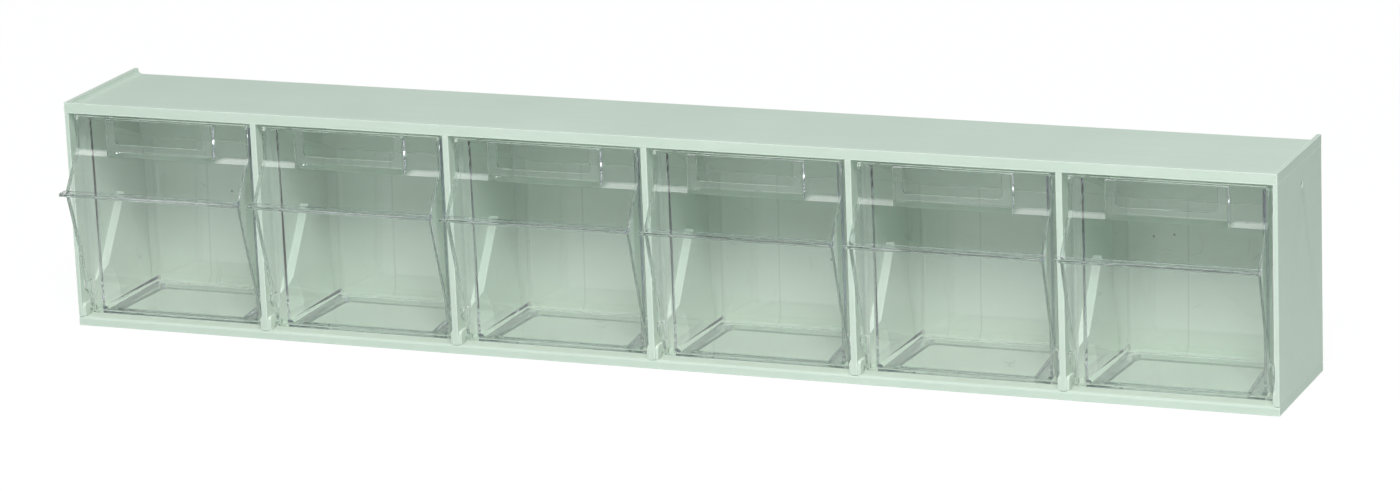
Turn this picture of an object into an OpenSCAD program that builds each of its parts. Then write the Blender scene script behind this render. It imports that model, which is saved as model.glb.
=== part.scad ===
// Parts bin cabinet: six clear tilt-out bins in one housing of moulded panels.
// Millimetres. +Z is up, the front faces -Y, the origin is the bottom centre of the closed cabinet.

/* [Overall] */
// width of the housing
width = 600; // [400:10:800]
// height of the housing
height = 111; // [80:1:160]
// depth of the housing without the bin lips
depth = 73; // [55:1:110]
// reach of the bin lips in front of the housing
lip_reach = 18; // [12:0.5:24]

/* [Housing] */
// thickness of an end panel
end_t = 2.1; // [1.5:0.1:3]
// thickness of a divider
divider_t = 2.9; // [2:0.1:4]
// thickness of the back panel
back_t = 2; // [1.5:0.1:3]
// thickness of the top and bottom plates
plate_t = 2.3; // [1.8:0.1:3]
// thickness of the rims and lips on the plates
rim_t = 2; // [1.5:0.1:3]
// height of the top panel over its front rim
top_h = 5.1; // [4:0.1:8]
// height of the bottom panel
base_h = 4.4; // [4:0.1:8]
// bevel along the front of the bottom panel
base_bevel = 0.9; // [0.5:0.1:1.5]
// fillet at the foot of the end lips
lip_fillet = 2.4; // [1:0.1:3]
// height of the tongues on dividers and ends
tongue_h = 1; // [0.8:0.1:1.2]
// thickness of the tongues
tongue_t = 1; // [0.8:0.1:1.4]
// slack round a tongue in its groove
tongue_gap = 0.15; // [0.1:0.05:0.3]
// radius of the screw holes in the ends
hole_r = 1.5; // [1:0.1:3]
// screw hole to the back of the housing
hole_to_back = 33.4; // [20:0.1:45]
// screw hole to the top of the housing
hole_to_top = 15; // [12:0.1:40]

/* [Guides and seats] */
// height of a guide fan over its wall
fan_t = 4; // [2:0.1:5]
// gap between a guide fan and the back panel
fan_to_back = 7; // [4:0.5:12]
// radius of the round back of a guide fan
fan_back_r = 49; // [30:1:60]
// slope of the straight top of a guide fan, in degrees
fan_slope = 60; // [45:1:75]
// front edge of a guide fan over the horizontal, in degrees
fan_rise = 56; // [50:1:65]
// radius where a guide fan leaves its wall
fan_toe_r = 13; // [10:0.5:18]
// radius where a guide fan has its full height
fan_full_r = 23; // [19:0.5:30]
// height of a seat block over its wall
seat_t = 1.3; // [1:0.1:2]
// height of a seat block over the floor
seat_h = 6.4; // [5.5:0.1:8]
// setback of a seat block from the front
seat_back = 0.8; // [0.5:0.1:1.5]
// lean of the seat face over the pivot, in degrees
seat_lean = 30; // [20:1:40]

/* [Bin] */
// wall thickness of a bin
wall = 1.5; // [1.2:0.1:2]
// gap from a cheek to the compartment wall
cheek_gap = 2.4; // [1.6:0.1:3]
// gap from a side wall to a guide fan
fan_gap = 2; // [1:0.1:3]
// gap from the top of a bin to the top panel
top_gap = 1.2; // [1.1:0.1:3]
// gap from a bin to the floor
floor_gap = 0.3; // [0.2:0.05:0.6]
// gap from the rear wall of a bin to the back panel
rear_gap = 5; // [3:0.5:10]
// swing clearance under the top panel
swing_gap = 1; // [0.8:0.1:3]
// drop of the side walls towards the rear
rear_drop = 26.3; // [10:0.1:40]
// lean of the rear wall, in degrees
rear_lean = 2.4; // [1:0.1:5]
// taper of the side walls, in degrees
side_taper = 4; // [1:0.1:6]
// setback of the jog behind the cheeks
jog_y = 10; // [9:0.1:14]
// setback of the upper front panel
panel_y = 1.5; // [0:0.1:4]
// drop from the top of a bin to the ledge
ledge_drop = 16.4; // [14:0.1:24]
// rise of the ledge
ledge_h = 2.5; // [2:0.1:5]
// depth of the ledge
ledge_d = 2.5; // [2.3:0.1:4]
// drop from the top of a bin to the lip
lip_drop = 34.8; // [28:0.1:45]
// thickness of the lip
lip_t = 1.7; // [1.2:0.1:2.5]
// lip from root to tip
lip_d = 5.4; // [4:0.1:8]
// overhang of the lip beside the cheeks
lip_over = 0.6; // [0:0.1:0.8]
// bevel on the inner corner of the jog
jog_bevel = 1.2; // [0.5:0.1:1.5]
// bevel between side walls and floor
floor_bevel = 1.6; // [1:0.1:4]
// bevel between floor and rear wall
rear_bevel = 5.8; // [3:0.1:7]
// radius of the rear corners
rear_r = 3; // [2:0.1:6]
// extra height of the floor at the pivot
floor_lift = 0.2; // [0.1:0.1:1]
// rise of the floor towards the rear, in degrees
floor_rise = 2.5; // [0:0.1:3]
// rise of the raised floor
deck_h = 0.9; // [0.8:0.1:2]
// taper of the raised floor, in degrees
deck_taper = 3; // [0:0.1:4]
// corner cut at the rear of the raised floor
deck_cut = 2; // [1:0.5:8]
// margin of the raised floor to the side walls
deck_edge = 8; // [5:0.1:10]
// margin of the raised floor to the rear bevel
deck_rear = 4; // [1:0.5:8]

/* [Label pocket] */
// width of the label block
label_w = 56.6; // [40:0.1:64]
// height of the block under the pocket
label_sill = 3; // [2:0.1:5]
// side wall of the pocket
label_side = 0.9; // [0.8:0.1:2]
// width of the frame round the window
label_frame = 4.8; // [3:0.1:7]
// thickness of the pocket
label_slot = 0.6; // [0.4:0.1:0.8]
// skin in front of the pocket
label_skin = 0.7; // [0.6:0.1:1]
// drop from the top of a bin to the block
label_drop = 0.9; // [0.5:0.1:3]
// corner radius of the window
label_r = 2.5; // [1:0.1:4]

/* [Pivot and stop] */
// radius of the heel that rolls over the floor
heel_r = 2.4; // [2.2:0.1:3]
// pivot to the front of the housing
pivot_y = 8; // [7:0.1:9]
// radius of a pivot pin
pin_r = 1.6; // [1.2:0.1:1.9]
// gap round a pivot pin in its seat
pin_gap = 0.3; // [0.2:0.05:0.5]
// side gap from a pin to the wall
pin_side = 0.5; // [0.3:0.05:0.7]
// angle of the open bin, in degrees
open_angle = 45; // [30:1:50]
// gap between lug and seat block when open
stop_gap = 0.15; // [0.1:0.05:0.4]
// width of a stop lug
lug_w = 5; // [4:0.1:5.5]
// top of a stop lug over the pivot
lug_h = 14.9; // [13:0.1:18]

/* [Hidden] */
$fa = 6;
$fs = 0.4;
bins = 6;
front = (lip_reach - depth) / 2;
comp = (width - 2 * end_t - (bins - 1) * divider_t) / bins;
pitch = comp + divider_t;
roof = height - top_h;
inner_d = depth - back_t;
pivot_z = base_h + floor_gap + heel_r;
fan_r = inner_d - fan_to_back - pivot_y;
seat_top = base_h + seat_h;
cheek_x = comp / 2 - cheek_gap;
side_x = comp / 2 - fan_t - fan_gap;
bin_z = base_h + floor_gap;
bin_top = roof - top_gap;
swing_r = roof - swing_gap - pivot_z;
heel_back = inner_d - rear_gap;
rear_limit = pivot_z + sqrt(pow(swing_r, 2) - pow(heel_back - pivot_y, 2));
rear_top = min(bin_top - rear_drop, rear_limit);
apex_y = -lip_reach + lip_d;
apex_z = bin_top - lip_drop;
ledge_z = bin_top - ledge_drop;
rear_foot = heel_back - (rear_top - bin_z) * tan(rear_lean);
rear_start = jog_y - 9;

// Tangent from the apex to the heel: the lower front of a bin.
apex_far = norm([apex_y - pivot_y, apex_z - pivot_z]);
low_angle = atan2(apex_z - pivot_z, apex_y - pivot_y) - asin(heel_r / apex_far);
toe_y = apex_y - (apex_z - bin_z) / tan(low_angle);

// Slope of the top edge of a side wall.
top_fall = (bin_top - rear_top) / (heel_back - panel_y);

// Side view of a bin as [y, z], counter-clockwise with the rear to the right and 3 mm past the rear wall.
bin_side = [
    [toe_y, bin_z],
    [rear_foot - rear_bevel, bin_z],
    [rear_foot + 3, bin_z + rear_bevel + 3],
    [heel_back + 3, rear_top - 3 * top_fall],
    [panel_y, bin_top],
    [panel_y, ledge_z],
    [panel_y - ledge_d, ledge_z - ledge_h],
    [apex_y, apex_z]
];

shell_color = [0.84, 0.88, 0.84];
bin_color = [0.75, 0.84, 0.78, 0.5];

function bin_x(i) = -width / 2 + end_t + comp / 2 + (i - 1) * pitch;
function wall_x(i) = bin_x(i) + pitch / 2;
function unit(v) = v / norm(v);
function left_of(v) = [-v[1], v[0]];
function meet(p, u, q, v) = p + u * ((q - p) * left_of(v)) / (u * left_of(v));
function side_of(pts, i) = unit(pts[(i + 1) % len(pts)] - pts[i]);
function base_of(pts, i, t) = pts[i] + left_of(side_of(pts, i)) * t;
function before(pts, i) = (i + len(pts) - 1) % len(pts);

// The outline moved inwards by t on every side.
function inset(pts, t) = [
    for (i = [0:len(pts) - 1])
        meet(base_of(pts, before(pts, i), t), side_of(pts, before(pts, i)), base_of(pts, i, t), side_of(pts, i))
];

// Draws children, given as a [y, z] outline, across the width from x = a to x = b.
module across(a, b) {
    translate([a, 0, 0])
        rotate([90, 0, 90])
            linear_extrude(height = b - a)
                children();
}

// Disc for a convex corner at p rounded with radius r, crossing both sides just before it touches them.
module corner_disc(p, before_p, after_p, r) {
    u = unit(before_p - p);
    v = unit(after_p - p);
    half = acos(u * v) / 2;
    translate(p + unit(u + v) * r / sin(half))
        circle(r = r + 0.002);
}

function cut_at(p, q, other, r) = p + unit(q - p) * r / tan(acos(unit(q - p) * unit(other - p)) / 2);

// Bars that cut a bevel of b along the foot of both side walls, from the corners [x, jog_y, z] on.
module wall_bevel(x, z, b, rise) {
    for (s = [-1, 1])
        translate([s * x, jog_y, z])
            rotate([rise, 0, s * side_taper])
                rotate([0, 45, 0])
                    cube([b * sqrt(2), 4 * depth, b * sqrt(2)], center = true);
}

// ---- housing ----

// Round slab about the pivot with a conical middle, leaning on the plane x = 0 and rising towards +x.
module fan_body() {
    far = 2 * fan_r;
    rotate([0, 90, 0])
        rotate_extrude()
            polygon([[fan_toe_r, 0], [far, 0], [far, fan_t], [fan_full_r, fan_t]]);
}

// Outline of a guide fan as [y, z] from the pivot: straight front, sloping top, round back.
module fan_outline() {
    centre = [fan_r - fan_back_r, base_h - pivot_z];
    start = centre + fan_back_r * [sin(fan_slope), cos(fan_slope)];
    peak = meet([0, 0], [cos(fan_rise), sin(fan_rise)], start, [-cos(fan_slope), sin(fan_slope)]);
    intersection() {
        polygon([[0, 0], [0, base_h - pivot_z], [2 * fan_r, base_h - pivot_z], [2 * fan_r, 0],
            start + [fan_r, 0], start, peak]);
        union() {
            translate(centre)
                circle(r = fan_back_r);
            polygon([[0, 0], [0, base_h - pivot_z], [centre[0], centre[1]], start, peak]);
        }
    }
}

// Guide fan and seat block on a wall face at x = 0, facing +x.
module wall_fittings() {
    translate([0, pivot_y, pivot_z])
        intersection() {
            fan_body();
            across(0, fan_t)
                fan_outline();
        }
    across(0, seat_t)
        polygon([
            [seat_back, base_h],
            [seat_rear(base_h), base_h],
            [seat_rear(seat_top), seat_top],
            [seat_back + 1.2, seat_top],
            [seat_back, seat_top - 1.2]
        ]);
}

function seat_rear(z) = pivot_y - (pin_r + pin_gap - sin(seat_lean) * (z - pivot_z)) / cos(seat_lean);

module tongues(x, t) {
    for (z = [base_h - tongue_h, roof])
        translate([x, rim_t + 3 * tongue_gap, z])
            cube([t, inner_d - rim_t - 6 * tongue_gap, tongue_h]);
}

module grooves(z) {
    for (i = [1:bins - 1])
        translate([wall_x(i) - tongue_t / 2 - tongue_gap, rim_t, z])
            cube([tongue_t + 2 * tongue_gap, inner_d - rim_t, tongue_h + tongue_gap + 1]);
    for (s = [0, 1])
        mirror([s, 0, 0])
            translate([-width / 2 + end_t - tongue_t - tongue_gap, rim_t, z])
                cube([tongue_t + 2 * tongue_gap, inner_d - rim_t, tongue_h + tongue_gap + 1]);
}

module top_panel() {
    color(shell_color)
        translate([0, front, 0])
            difference() {
                union() {
                    translate([-width / 2, 0, roof])
                        cube([width, depth, plate_t]);
                    translate([-width / 2, 0, roof])
                        cube([width, rim_t, top_h]);
                    for (s = [0, 1])
                        mirror([s, 0, 0])
                            end_lip();
                }
                grooves(roof - 1);
            }
}

module end_lip() {
    f = min(lip_fillet, top_h - plate_t);
    translate([-width / 2, depth, roof + plate_t])
        rotate([90, 0, 0])
            linear_extrude(height = depth - rim_t / 2)
                difference() {
                    translate([0, -plate_t / 2])
                        square([rim_t + f, top_h - plate_t / 2]);
                    translate([rim_t + f, f])
                        circle(r = f);
                    translate([rim_t, f])
                        square([2 * f, top_h]);
                }
}

module bottom_panel() {
    color(shell_color)
        translate([0, front, 0])
            difference() {
                across(-width / 2, width / 2)
                    polygon([
                        [0, 0],
                        [depth, 0],
                        [depth, base_h],
                        [base_bevel, base_h],
                        [0, base_h - base_bevel]
                    ]);
                for (i = [1:bins])
                    under_pocket(i);
                grooves(base_h - tongue_h - tongue_gap);
            }
}

// Open pocket in the underside between two cross ribs.
module under_pocket(i) {
    a = i == 1 ? -width / 2 + rim_t : wall_x(i - 1) + rim_t / 2;
    b = i == bins ? width / 2 - rim_t : wall_x(i) - rim_t / 2;
    translate([a, rim_t, -1])
        cube([b - a, depth - 2 * rim_t, base_h - plate_t + 1]);
}

module back_panel() {
    color(shell_color)
        translate([-width / 2 + end_t, front + inner_d, base_h])
            cube([width - 2 * end_t, back_t, roof - base_h]);
}

module left_end_panel() {
    color(shell_color)
        end_panel();
}

module right_end_panel() {
    color(shell_color)
        mirror([1, 0, 0])
            end_panel();
}

module end_panel() {
    translate([-width / 2, front, 0])
        difference() {
            union() {
                translate([0, 0, base_h])
                    cube([end_t, depth, roof - base_h]);
                tongues(end_t - tongue_t, tongue_t);
                translate([end_t, 0, 0])
                    wall_fittings();
            }
            translate([-1, depth - hole_to_back, height - hole_to_top])
                rotate([0, 90, 0])
                    cylinder(r = hole_r, h = end_t + 2);
        }
}

module divider(i) {
    color(shell_color)
        translate([wall_x(i), front, 0]) {
            translate([-divider_t / 2, 0, base_h])
                cube([divider_t, inner_d, roof - base_h]);
            tongues(-tongue_t / 2, tongue_t);
            for (s = [0, 1])
                mirror([s, 0, 0])
                    translate([divider_t / 2, 0, 0])
                        wall_fittings();
        }
}

// ---- bins ----

// Outline of a bin in side view, moved inwards by t; the heel and the cavity share their centre.
module side_view(t) {
    o = t > 0 ? inset(bin_side, t) : bin_side;
    r = heel_r - t;
    n = len(o);
    polygon(concat(
        [cut_at(o[0], o[n - 1], o[1], r), cut_at(o[0], o[1], o[n - 1], r)],
        [for (k = [1:n - 1]) o[k]]
    ));
    corner_disc(o[0], o[n - 1], o[1], r);
    if (t > 0)
        polygon([o[4], o[3], o[3] + [0, 60], o[4] + [0, 60]]);
}

// The same outline kept between y = a and y = b.
module side_part(t, a, b) {
    intersection() {
        side_view(t);
        translate([a, 0])
            square([b - a, height + 100]);
    }
}

// Tapered rear of a bin in plan, moved inwards by t and leaning back; it starts inside the front.
module rear_plan(t) {
    a = rear_start;
    foot = rear_foot - t / cos(rear_lean);
    half_a = side_x - t - (a - jog_y) * tan(side_taper);
    half_b = side_x - t - (foot - jog_y) * tan(side_taper);
    r = rear_r - t;
    pa = [half_a, a];
    pb = [half_b, foot];
    pc = [-half_b, foot];
    pd = [-half_a, a];
    translate([0, foot, bin_z])
        rotate([-rear_lean, 0, 0])
            translate([0, -foot, -20])
                linear_extrude(height = height + 40) {
                    polygon([pa, cut_at(pb, pa, pc, r), cut_at(pb, pc, pa, r),
                        cut_at(pc, pb, pd, r), cut_at(pc, pd, pb, r), pd]);
                    corner_disc(pb, pa, pc, r);
                    corner_disc(pc, pb, pd, r);
                }
}

module rear_body(t) {
    difference() {
        intersection() {
            rear_plan(t);
            across(-width, width)
                side_part(t, rear_start + 1, depth + 10);
        }
        if (t > 0)
            wall_bevel(side_x - t, floor_z(jog_y), floor_bevel, floor_rise);
        else
            wall_bevel(side_x, bin_z, floor_bevel + wall / 2, 0);
    }
}

function floor_z(y) = bin_z + wall + floor_lift + (y - pivot_y) * tan(floor_rise);

// Slopes children with the floor, whose top passes through z = 0 here at y = 0.
module on_floor() {
    translate([0, 0, floor_z(0)])
        rotate([floor_rise, 0, 0])
            children();
}

// Raised floor: a flat plate from the jog on, grown by extra, from height a to height b over the floor.
module deck(extra, a, b) {
    y0 = jog_y + 0.2 - extra;
    y1 = rear_foot - rear_bevel - deck_rear + extra;
    e = side_x - deck_edge + extra;
    f = e - (y1 - y0) * tan(deck_taper);
    on_floor()
        translate([0, 0, a])
            linear_extrude(height = b - a)
                polygon([
                    [-e, y0],
                    [e, y0],
                    [f, y1 - deck_cut],
                    [f - deck_cut, y1],
                    [-f + deck_cut, y1],
                    [-f, y1 - deck_cut]
                ]);
}

// Floor of a bin: everything under the sloping floor that the cavity would take away.
module floor_fill() {
    on_floor()
        translate([-comp / 2, 0, -10])
            cube([comp, depth, 10]);
    deck(0, -1, deck_h);
}

// Bars that bevel the inner corners of the jog.
module jog_bevels() {
    c = side_x - wall + 0.2;
    y = jog_y - wall;
    intersection() {
        for (s = [0, 1])
            mirror([s, 0, 0])
                linear_extrude(height = height)
                    polygon([
                        [c - 3, y - 1],
                        [c + jog_bevel + 1, y - 1],
                        [c - 1, y + jog_bevel + 1],
                        [c - 3, y + jog_bevel + 1]
                    ]);
        across(-comp / 2, comp / 2)
            side_part(wall, -lip_reach, depth);
    }
}

module label_block() {
    z0 = ledge_z - ledge_h;
    z1 = bin_top - label_drop;
    y0 = panel_y - ledge_d;
    difference() {
        translate([-label_w / 2, y0, z0])
            cube([label_w, ledge_d + wall / 2, z1 - z0]);
        translate([-label_w / 2 + label_side, y0 + label_skin, z0 + label_sill])
            cube([label_w - 2 * label_side, label_slot, height]);
        translate([0, y0 + label_skin + label_slot / 2, 0])
            rotate([90, 0, 0])
                linear_extrude(height = ledge_d)
                    window(label_w / 2 - label_frame, z0 + 2 * label_sill);
    }
}

module window(half, z) {
    translate([-half, z + label_r])
        square([2 * half, height]);
    translate([-half + label_r, z])
        square([2 * (half - label_r), height]);
    for (s = [-1, 1])
        translate([s * (half - label_r), z + label_r])
            circle(r = label_r);
}

module lip() {
    tip = -lip_reach + lip_t / 2;
    across(-cheek_x - lip_over, cheek_x + lip_over) {
        translate([tip, apex_z])
            circle(d = lip_t);
        translate([tip, apex_z - lip_t / 2])
            square([apex_y - tip + wall * 0.6, lip_t]);
    }
}

// Pivot pin and stop lug on the right cheek.
module pivot_side() {
    a = cheek_x - wall / 2;
    b = comp / 2 - pin_side;
    translate([a, pivot_y, pivot_z])
        rotate([0, 90, 0])
            cylinder(r = pin_r, h = b - a);
    stop = seat_top + stop_gap - pivot_z;
    y0 = -lug_w - 0.25;
    y1 = -0.25;
    translate([0, pivot_y, pivot_z])
        across(a, b)
            polygon([
                [y0, (stop - y0 * sin(open_angle)) / cos(open_angle)],
                [y1, (stop - y1 * sin(open_angle)) / cos(open_angle)],
                [y1, lug_h],
                [y0, lug_h]
            ]);
}

module bin(i) {
    color(bin_color)
        translate([bin_x(i), front, 0]) {
            difference() {
                union() {
                    across(-cheek_x, cheek_x)
                        side_part(0, -lip_reach, jog_y);
                    rear_body(0);
                    label_block();
                    lip();
                }
                difference() {
                    union() {
                        across(-cheek_x + wall, cheek_x - wall)
                            side_part(wall, -lip_reach, jog_y - wall);
                        rear_body(wall);
                        jog_bevels();
                    }
                    floor_fill();
                }
                deck(-wall, -12, deck_h - wall);
            }
            for (s = [0, 1])
                mirror([s, 0, 0])
                    pivot_side();
        }
}

module divider_1() { divider(1); }
module divider_2() { divider(2); }
module divider_3() { divider(3); }
module divider_4() { divider(4); }
module divider_5() { divider(5); }
module bin_1() { bin(1); }
module bin_2() { bin(2); }
module bin_3() { bin(3); }
module bin_4() { bin(4); }
module bin_5() { bin(5); }
module bin_6() { bin(6); }

top_panel();
bottom_panel();
back_panel();
left_end_panel();
right_end_panel();
divider_1();
divider_2();
divider_3();
divider_4();
divider_5();
bin_1();
bin_2();
bin_3();
bin_4();
bin_5();
bin_6();
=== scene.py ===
"""Looks of the parts bin cabinet: pale moulded housing and clear tilt-out bins on white."""

import math

import bpy
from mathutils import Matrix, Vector


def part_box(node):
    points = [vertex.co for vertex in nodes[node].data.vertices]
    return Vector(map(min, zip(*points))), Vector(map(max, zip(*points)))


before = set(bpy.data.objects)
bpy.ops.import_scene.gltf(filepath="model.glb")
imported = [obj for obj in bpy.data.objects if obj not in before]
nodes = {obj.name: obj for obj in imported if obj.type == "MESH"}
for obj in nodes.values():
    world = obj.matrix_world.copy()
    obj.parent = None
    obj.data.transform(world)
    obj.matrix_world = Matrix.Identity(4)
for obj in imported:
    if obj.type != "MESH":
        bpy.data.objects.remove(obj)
scene = bpy.context.scene
BINS = ["bin_" + str(i) for i in range(1, 7)]
SHELL = [n for n in nodes if n not in BINS]


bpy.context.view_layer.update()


def lin(r, g, b):
    """An sRGB colour in 0..255 as a linear one."""
    out = []
    for v in (r, g, b):
        v = v / 255
        out.append(v / 12.92 if v <= 0.04045 else ((v + 0.055) / 1.055) ** 2.4)
    return (*out, 1)


WHITE = (1, 1, 1, 1)

# Places on the housing, in metres.
BACK_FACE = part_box("back_panel")[0][1]
HOUSING_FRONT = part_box("top_panel")[0][1]
HOUSING_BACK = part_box("back_panel")[1][1]
HOUSING_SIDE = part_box("right_end_panel")[1][0]
SKIN = 0.001

# Rounded edges of the mouldings, in metres and degrees.
EDGE_RADIUS = 0.0003
EDGE_SEGMENTS = 2
SHELL_EDGE_ANGLE = 35
CLEAR_EDGE_ANGLE = 30
WELD_GAP = 1e-6

# Shell: colours. Each share says how far a colour is mixed in.
SHELL_LOW = lin(206, 220, 209)
SHELL_HIGH = lin(212, 225, 215)
SHELL_FLOW = lin(203, 217, 206)
FLOW_SHARE = 0.35
SHELL_GRAIN = lin(199, 213, 202)
GRAIN_SHARE = 0.3
# Painted light: a lighter tone on the lowest faces inside the housing, in place of the light that
# reaches them.
SHELL_PAINTED_LIGHT = lin(222, 233, 221)
SHELL_DIRT = lin(90, 100, 90)
DIRT_SHARE = 0.75
# Painted highlight: a light line along every edge.
SHELL_EDGE_HIGHLIGHT = lin(240, 247, 241)
EDGE_HIGHLIGHT_SHARE = 0.85

# Shell: its patterns and surface. A scale is in waves per metre, and a spread is the part of a
# pattern's range over which it takes effect.
CLOUD_SCALE = 14.0
CLOUD_SPREAD = (0.35, 0.65)
SHELL_FLOW_SCALE = 4.0
SHELL_FLOW_STRETCH = (3.0, 60.0, 60.0)
SHELL_FLOW_SPREAD = (0.4, 0.7)
GRAIN_SCALE = 1500.0
GRAIN_SPREAD = (0.3, 0.7)
GRAIN_BUMP = 0.1
GRAIN_HEIGHT = 0.0001
SPECK_SCALE = 90.0
SPECK_SIZE = 0.058
SPECK_RARITY = 0.55
# Heights in metres where the painted light low inside is none and where it is full.
PAINTED_LIGHT_TOP = 0.042
PAINTED_LIGHT_BOTTOM = 0.005
# Painted edge highlight: the radius it reads and the turns at which it is none and full.
EDGE_HIGHLIGHT_RADIUS = 0.0012
EDGE_HIGHLIGHT_SAMPLES = 4
EDGE_HIGHLIGHT_NONE = 0.99
EDGE_HIGHLIGHT_FULL = 0.75
SHELL_ROUGH_SPREAD = (0.3, 0.7)
SHELL_ROUGH_LOW = 0.4
SHELL_ROUGH_HIGH = 0.5
SHELL_IOR = 1.5
SHELL_SPECULAR = 0.35

# Clear plastic: colours. Light that goes through takes on the body's colour, the more so the
# denser the body is.
CLEAR_LOW = lin(250, 253, 251)
CLEAR_HIGH = lin(253, 254, 253)
CLEAR_LINE = lin(150, 162, 152)
CLEAR_BODY = (0.72, 0.7, 0.82, 1)
CLEAR_DENSITY = 13.0
CLEAR_IOR = 1.55

# Clear plastic: its patterns and surface.
SMEAR_SCALE = 30.0
SMEAR_SPREAD = (0.55, 0.8)
SMEAR_ROUGH = 0.03
CLEAR_FLOW_SCALE = 9.0
CLEAR_FLOW_STRETCH = (1.0, 1.0, 0.6)
CLEAR_FLOW_SPREAD = (0.35, 0.65)
CLEAR_BUMP = 0.015
CLEAR_HEIGHT = 0.001
SCRATCH_SCALE = 34.0
SCRATCH_WIDTH = 0.003
SCRATCH_PATCH_SCALE = 78.2
SCRATCH_PATCH_SPREAD = (0.60, 0.64)
SCRATCH_SHARE = 0.5
SCRATCH_HEIGHT = 0.02
SCRATCH_ROUGH = 0.3
FLOW_LINE_LEFT = 0.0095
FLOW_LINE_FROM = 0.03
FLOW_LINE_CORE = 0.0001
FLOW_LINE_EDGE = 0.0003
FLOW_LINE_SHARE = 0.25

# World: the light on the object, how much darker it is in reflections, level and overhead, and
# the height of a ray's direction that counts as overhead.
AMBIENT = 0.34
AMBIENT_COLOUR = (0.87, 1.0, 0.93, 1)
SHADE_LEVEL = 0.5
SHADE_OVERHEAD = 0.85
OVERHEAD = 0.5
# A pale card in front at the left, seen in reflections: its place by the ray's direction.
CARD_FOOT = 0.2
CARD_FULL = 0.4
CARD_RIGHT = -0.36
CARD_LEFT = -0.47
CARD_PALE = 0.05
CARD_BRIGHT = 0.85

# Floor: half its side, its paint, and its white glow, which fades in reflections away from the
# object. The shadow is how much of the paint shows through the glow.
FLOOR_HALF = 3.0
FLOOR_PAINT = (0.76, 0.8, 0.77, 1)
FLOOR_GLOW = 1.05
FLOOR_FADE = 0.6
FLOOR_NEAR = 0.12
FLOOR_FAR = 0.5
FLOOR_WIDEN = (0.3, 1.0, 1.0)
FLOOR_SHADOW = 0.12

# Lamps, in metres and watts.
AIM = (0, 0, 0.05)
KEY_AT = (0.634, -1.515, 1.857)
STRIP_AT = (-0.81, -0.57, 2.0)
STRIP_LEAN = 16
BACK_AT = (-0.5, 2.0, 0.35)

# Light paths: clear edges stay light only if a ray may turn many times inside them.
ALL_BOUNCES = 80
CLEAR_BOUNCES = 60
SEE_THROUGH_BOUNCES = 32

# Camera, fitted to the housing's corners: millimetres of lens and sensor, metres and degrees.
LENS = 134.432
SENSOR = 36
CAMERA_AT = (0.904735, -2.167385, 0.691308)
CAMERA_TURN = (74.7463, 2.24795, 21.70689)
CLIP_NEAR = 0.1
CLIP_FAR = 50


class Nodes:
    """A short way to build one node tree."""

    def __init__(self, owner, output):
        owner.use_nodes = True
        self.owner = owner
        self.tree = owner.node_tree
        self.tree.nodes.clear()
        self.out = self.add(output)

    def put(self, socket, value):
        """Links an output to the socket, or sets a plain value on it."""
        if isinstance(value, bpy.types.NodeSocket):
            self.tree.links.new(value, socket)
        else:
            socket.default_value = value

    def add(self, kind, inputs=None, **settings):
        """A new node with its settings and inputs."""
        node = self.tree.nodes.new(kind)
        for key, value in settings.items():
            setattr(node, key, value)
        for key, value in (inputs or {}).items():
            self.put(node.inputs[key], value)
        return node

    def math(self, op, a, b=0.0):
        return self.add("ShaderNodeMath", {0: a, 1: b}, operation=op).outputs[0]

    def ramp(self, fac, a, b, lo=0.0, hi=1.0):
        """fac from a..b to lo..hi, held at the ends."""
        return self.add(
            "ShaderNodeMapRange",
            {"Value": fac, "From Min": a, "From Max": b, "To Min": lo, "To Max": hi},
            clamp=True,
        ).outputs[0]

    def between(self, value, low, high):
        """1 where value is over low and under high."""
        over = self.math("GREATER_THAN", value, low)
        under = self.math("LESS_THAN", value, high)
        return self.math("MULTIPLY", over, under)

    def mix(self, fac, a, b):
        return self.add("ShaderNodeMix", {0: fac, 6: a, 7: b}, data_type="RGBA").outputs[2]

    def blend(self, fac, a, b):
        return self.add("ShaderNodeMixShader", {0: fac, 1: a, 2: b}).outputs[0]

    def noise(self, co, scale, detail=2.0, rough=0.5):
        return self.add(
            "ShaderNodeTexNoise",
            {"Vector": co, "Scale": scale, "Detail": detail, "Roughness": rough},
        ).outputs[0]

    def bump(self, height, strength, distance):
        return self.add(
            "ShaderNodeBump", {"Strength": strength, "Distance": distance, "Height": height}
        ).outputs[0]

    def object_place(self):
        return self.add("ShaderNodeTexCoord").outputs["Object"]

    def split(self, co):
        return self.add("ShaderNodeSeparateXYZ", {0: co}).outputs

    def stretched(self, co, scales):
        return self.add("ShaderNodeMapping", {"Vector": co, "Scale": scales}).outputs[0]

    def background_ray(self):
        """1 for rays that show the white surroundings, 0 for those that light the object.

        The second value is 1 for reflections alone.
        """
        ray = self.add("ShaderNodeLightPath").outputs
        seen = self.math("MAXIMUM", ray["Is Camera Ray"], ray["Is Transmission Ray"])
        seen = self.math("MAXIMUM", seen, ray["Is Glossy Ray"])
        direct = self.math("LESS_THAN", ray["Diffuse Depth"], 0.5)
        return self.math("MULTIPLY", seen, direct), ray["Is Glossy Ray"]


def specks(m, co):
    """Rare dark specks, 1 inside."""
    cells = m.add(
        "ShaderNodeTexVoronoi", {"Vector": co, "Scale": SPECK_SCALE, "Randomness": 1.0}
    ).outputs
    near = m.math("LESS_THAN", cells["Distance"], SPECK_SIZE)
    chance = m.add("ShaderNodeSeparateColor", {0: cells["Color"]}).outputs[0]
    return m.math("MULTIPLY", near, m.math("GREATER_THAN", chance, SPECK_RARITY))


def scratches(m, co):
    """Rare thin curved scratches, 1 on the line."""
    line = m.noise(co, SCRATCH_SCALE, detail=0.0)
    off = m.math("ABSOLUTE", m.math("SUBTRACT", line, 0.5))
    thin = m.ramp(off, 0.0, SCRATCH_WIDTH, 1.0, 0.0)
    patch = m.noise(co, SCRATCH_PATCH_SCALE, detail=1.0)
    where = m.ramp(patch, *SCRATCH_PATCH_SPREAD)
    return m.math("MULTIPLY", thin, where)


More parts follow.
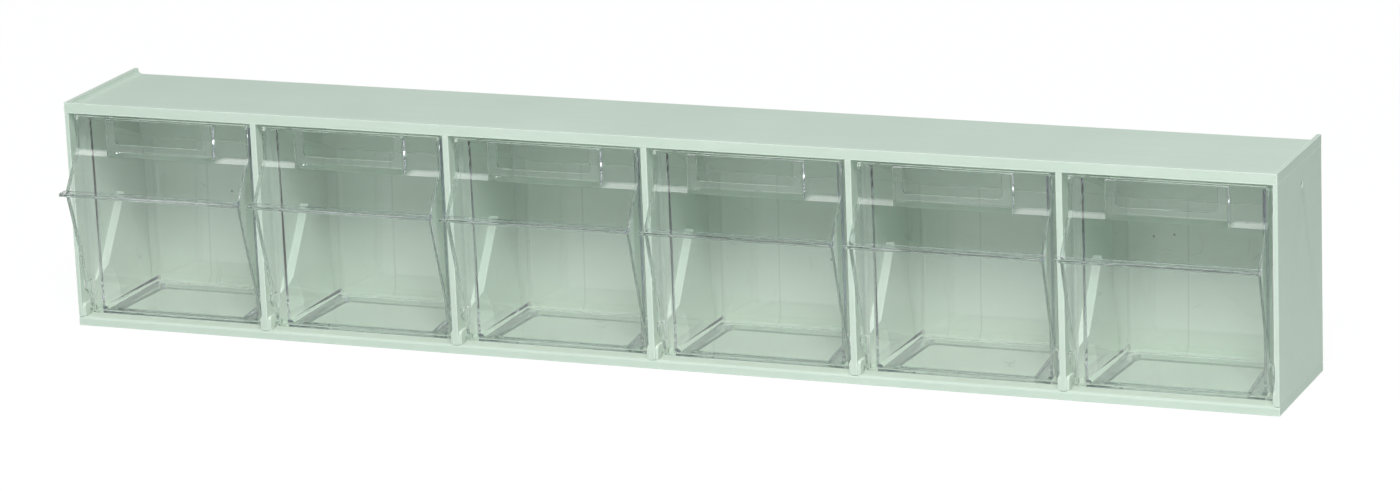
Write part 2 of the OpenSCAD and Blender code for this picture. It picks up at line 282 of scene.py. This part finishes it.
def flow_line(m, co):
    """The faint upright line where the melt met in each bin's back wall, 1 on the line."""
    first, last = ((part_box(n)[0][0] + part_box(n)[1][0]) / 2 for n in (BINS[0], BINS[-1]))
    pitch = (last - first) / (len(BINS) - 1)
    x, y, _ = m.split(co)
    turns = m.math("DIVIDE", m.math("SUBTRACT", x, first - FLOW_LINE_LEFT), pitch)
    rest = m.math("ABSOLUTE", m.math("SUBTRACT", turns, m.math("ROUND", turns)))
    off = m.math("MULTIPLY", rest, pitch)
    line = m.ramp(off, FLOW_LINE_CORE, FLOW_LINE_EDGE, 1.0, 0.0)
    return m.math("MULTIPLY", line, m.math("GREATER_THAN", y, FLOW_LINE_FROM))


def clean_zone(m, x, y, z):
    """Painted light: 1 on the lowest faces inside the housing, 0 outside it and higher up."""
    across = m.math("LESS_THAN", m.math("ABSOLUTE", x), HOUSING_SIDE - SKIN)
    within = m.math("MULTIPLY", across, m.between(y, HOUSING_FRONT + SKIN, HOUSING_BACK - SKIN))
    return m.math("MULTIPLY", within, m.ramp(z, PAINTED_LIGHT_TOP, PAINTED_LIGHT_BOTTOM))


def worn_edges(m):
    """Painted highlight along edges: the stronger, the sharper the surface turns close by."""
    round_normal = m.add("ShaderNodeBevel", {"Radius": EDGE_HIGHLIGHT_RADIUS}, samples=EDGE_HIGHLIGHT_SAMPLES)
    normal = m.add("ShaderNodeNewGeometry").outputs["Normal"]
    turn = m.add(
        "ShaderNodeVectorMath",
        {0: round_normal.outputs[0], 1: normal},
        operation="DOT_PRODUCT",
    )
    return m.ramp(turn.outputs["Value"], EDGE_HIGHLIGHT_NONE, EDGE_HIGHLIGHT_FULL, 0.0, EDGE_HIGHLIGHT_SHARE)


def shell_material():
    """Satin polystyrene: grain, faint clouds and flow, specks inside; painted light low inside,
    painted edge highlights.
    """
    m = Nodes(bpy.data.materials.new("shell"), "ShaderNodeOutputMaterial")
    co = m.object_place()
    cloud = m.noise(co, CLOUD_SCALE, detail=3.0)
    flow = m.noise(m.stretched(co, SHELL_FLOW_STRETCH), SHELL_FLOW_SCALE)
    grain = m.noise(co, GRAIN_SCALE)
    tone = m.mix(m.ramp(cloud, *CLOUD_SPREAD), SHELL_LOW, SHELL_HIGH)
    tone = m.mix(m.ramp(flow, *SHELL_FLOW_SPREAD, 0.0, FLOW_SHARE), tone, SHELL_FLOW)
    tone = m.mix(m.ramp(grain, *GRAIN_SPREAD, 0.0, GRAIN_SHARE), tone, SHELL_GRAIN)
    x, y, z = m.split(co)
    # Painted light: lighter low down inside the housing.
    tone = m.mix(clean_zone(m, x, y, z), tone, SHELL_PAINTED_LIGHT)
    on_back = m.between(y, BACK_FACE - SKIN, BACK_FACE + SKIN)
    dirt = m.math("MULTIPLY", specks(m, co), on_back)
    tone = m.mix(m.math("MULTIPLY", dirt, DIRT_SHARE), tone, SHELL_DIRT)
    # Painted highlight along the edges.
    tone = m.mix(worn_edges(m), tone, SHELL_EDGE_HIGHLIGHT)
    rough = m.ramp(cloud, *SHELL_ROUGH_SPREAD, SHELL_ROUGH_LOW, SHELL_ROUGH_HIGH)
    shader = m.add(
        "ShaderNodeBsdfPrincipled",
        {
            "Base Color": tone,
            "Roughness": rough,
            "Normal": m.bump(grain, GRAIN_BUMP, GRAIN_HEIGHT),
            "IOR": SHELL_IOR,
            "Specular IOR Level": SHELL_SPECULAR,
        },
    )
    m.put(m.out.inputs["Surface"], shader.outputs[0])
    return m.owner


def clear_material():
    """Clear polystyrene with flow waves, smears and fine scratches, which lets the lamps through."""
    m = Nodes(bpy.data.materials.new("clear"), "ShaderNodeOutputMaterial")
    co = m.object_place()
    smear = m.noise(co, SMEAR_SCALE, detail=4.0, rough=0.6)
    flow = m.noise(m.stretched(co, CLEAR_FLOW_STRETCH), CLEAR_FLOW_SCALE)
    lines = scratches(m, co)
    tone = m.mix(m.ramp(flow, *CLEAR_FLOW_SPREAD), CLEAR_LOW, CLEAR_HIGH)
    tone = m.mix(m.math("MULTIPLY", lines, SCRATCH_SHARE), tone, CLEAR_LINE)
    tone = m.mix(m.math("MULTIPLY", flow_line(m, co), FLOW_LINE_SHARE), tone, CLEAR_LINE)
    height = m.math("ADD", flow, m.math("MULTIPLY", lines, SCRATCH_HEIGHT))
    smeared = m.ramp(smear, *SMEAR_SPREAD, 0.0, SMEAR_ROUGH)
    rough = m.math("ADD", smeared, m.math("MULTIPLY", lines, SCRATCH_ROUGH))
    shader = m.add(
        "ShaderNodeBsdfPrincipled",
        {
            "Base Color": tone,
            "Roughness": rough,
            "Normal": m.bump(height, CLEAR_BUMP, CLEAR_HEIGHT),
            "Transmission Weight": 1.0,
            "IOR": CLEAR_IOR,
        },
    )
    ray = m.add("ShaderNodeLightPath").outputs
    through = m.add("ShaderNodeBsdfTransparent", {"Color": WHITE}).outputs[0]
    soft = m.blend(ray["Is Diffuse Ray"], shader.outputs[0], through)
    m.put(m.out.inputs["Surface"], m.blend(ray["Is Shadow Ray"], soft, through))
    body = m.add("ShaderNodeVolumeAbsorption", {"Color": CLEAR_BODY, "Density": CLEAR_DENSITY})
    m.put(m.out.inputs["Volume"], body.outputs[0])
    return m.owner


def dress(obj, material, angle):
    """Gives a CAD node its material and the small edge radii of a moulding."""
    obj.data.materials.clear()
    obj.data.materials.append(material)
    weld = obj.modifiers.new("weld", "WELD")
    weld.merge_threshold = WELD_GAP
    radii = obj.modifiers.new("radii", "BEVEL")
    radii.width = EDGE_RADIUS
    radii.segments = EDGE_SEGMENTS
    radii.limit_method = "ANGLE"
    radii.angle_limit = math.radians(angle)
    radii.use_clamp_overlap = True
    for p in obj.data.polygons:
        p.use_smooth = False


def make_world():
    """White where it is seen, a plain even light on the object.

    In reflections it is darker, most of all overhead, but for a pale card in front at the left.
    """
    m = Nodes(bpy.data.worlds.new("world"), "ShaderNodeOutputWorld")
    seen, glossy = m.background_ray()
    side, depth, up = m.split(m.add("ShaderNodeTexCoord").outputs["Generated"])
    in_front = m.math("LESS_THAN", depth, 0.0)
    upright = m.math("MULTIPLY", in_front, m.ramp(up, CARD_FOOT, CARD_FULL))
    card = m.ramp(side, CARD_RIGHT, CARD_LEFT, CARD_PALE, CARD_BRIGHT)
    card = m.math("MULTIPLY", upright, card)
    shade = m.ramp(up, 0.0, OVERHEAD, SHADE_LEVEL, SHADE_OVERHEAD)
    dim = m.math("MULTIPLY", glossy, m.math("SUBTRACT", shade, card))
    strength = m.math("SUBTRACT", 1.0, dim)
    shown = m.add("ShaderNodeBackground", {"Color": WHITE, "Strength": strength})
    light = m.add("ShaderNodeBackground", {"Color": AMBIENT_COLOUR, "Strength": AMBIENT})
    m.put(m.out.inputs["Surface"], m.blend(seen, light.outputs[0], shown.outputs[0]))
    return m.owner


def floor_material():
    """Pale and plain, white where it is seen but for a faint contact shadow."""
    m = Nodes(bpy.data.materials.new("floor"), "ShaderNodeOutputMaterial")
    seen, glossy = m.background_ray()
    paint = m.add("ShaderNodeBsdfDiffuse", {"Color": FLOOR_PAINT}).outputs[0]
    place = m.stretched(m.add("ShaderNodeNewGeometry").outputs["Position"], FLOOR_WIDEN)
    away = m.add("ShaderNodeVectorMath", {0: place}, operation="LENGTH").outputs["Value"]
    fade = m.math("MULTIPLY", m.ramp(away, FLOOR_NEAR, FLOOR_FAR), FLOOR_FADE)
    bright = m.math("SUBTRACT", FLOOR_GLOW, m.math("MULTIPLY", glossy, fade))
    glow = m.add("ShaderNodeEmission", {"Color": WHITE, "Strength": bright}).outputs[0]
    m.put(m.out.inputs["Surface"], m.blend(seen, paint, m.blend(FLOOR_SHADOW, glow, paint)))
    return m.owner


def make_floor():
    corners = ((-1, -1), (1, -1), (1, 1), (-1, 1))
    mesh = bpy.data.meshes.new("floor")
    mesh.from_pydata([(x * FLOOR_HALF, y * FLOOR_HALF, 0) for x, y in corners], [], [(0, 1, 2, 3)])
    mesh.materials.append(floor_material())
    floor = bpy.data.objects.new("floor", mesh)
    scene.collection.objects.link(floor)


def aimed(at):
    """The turn that points a lamp at the object."""
    return (Vector(AIM) - Vector(at)).to_track_quat("-Z", "Y").to_euler()


def area(name, at, turn, size, power, shows):
    """A soft rectangular lamp; shows says whether gloss and clear plastic show it."""
    lamp = bpy.data.lights.new(name, "AREA")
    lamp.shape = "RECTANGLE"
    lamp.size, lamp.size_y = size
    lamp.energy = power
    obj = bpy.data.objects.new(name, lamp)
    scene.collection.objects.link(obj)
    obj.location = at
    obj.rotation_euler = turn
    obj.visible_glossy = shows
    obj.visible_transmission = shows


def make_lamps():
    """The key lights the front, top and right; the back lamp keeps the back wall from going dull."""
    area("key", KEY_AT, aimed(KEY_AT), size=(1.2, 0.9), power=45, shows=False)
    # Over the front: the small ledges of the bins reflect it.
    lean = (math.radians(STRIP_LEAN), 0, 0)
    area("strip", STRIP_AT, lean, size=(1.5, 0.28), power=3.6, shows=True)
    area("back", BACK_AT, aimed(BACK_AT), size=(1.2, 0.6), power=10, shows=False)


def make_camera():
    data = bpy.data.cameras.new("camera")
    data.sensor_fit = "HORIZONTAL"
    data.sensor_width = SENSOR
    data.lens = LENS
    data.clip_start = CLIP_NEAR
    data.clip_end = CLIP_FAR
    camera = bpy.data.objects.new("camera", data)
    scene.collection.objects.link(camera)
    camera.location = CAMERA_AT
    camera.rotation_euler = [math.radians(a) for a in CAMERA_TURN]
    return camera


shell = shell_material()
clear = clear_material()
for n in SHELL:
    dress(nodes[n], shell, SHELL_EDGE_ANGLE)
for n in BINS:
    dress(nodes[n], clear, CLEAR_EDGE_ANGLE)

scene.world = make_world()
make_floor()
make_lamps()
scene.camera = make_camera()

scene.cycles.max_bounces = ALL_BOUNCES
scene.cycles.transmission_bounces = CLEAR_BOUNCES
scene.cycles.glossy_bounces = CLEAR_BOUNCES
scene.cycles.transparent_max_bounces = SEE_THROUGH_BOUNCES
scene.view_settings.view_transform = "Standard"
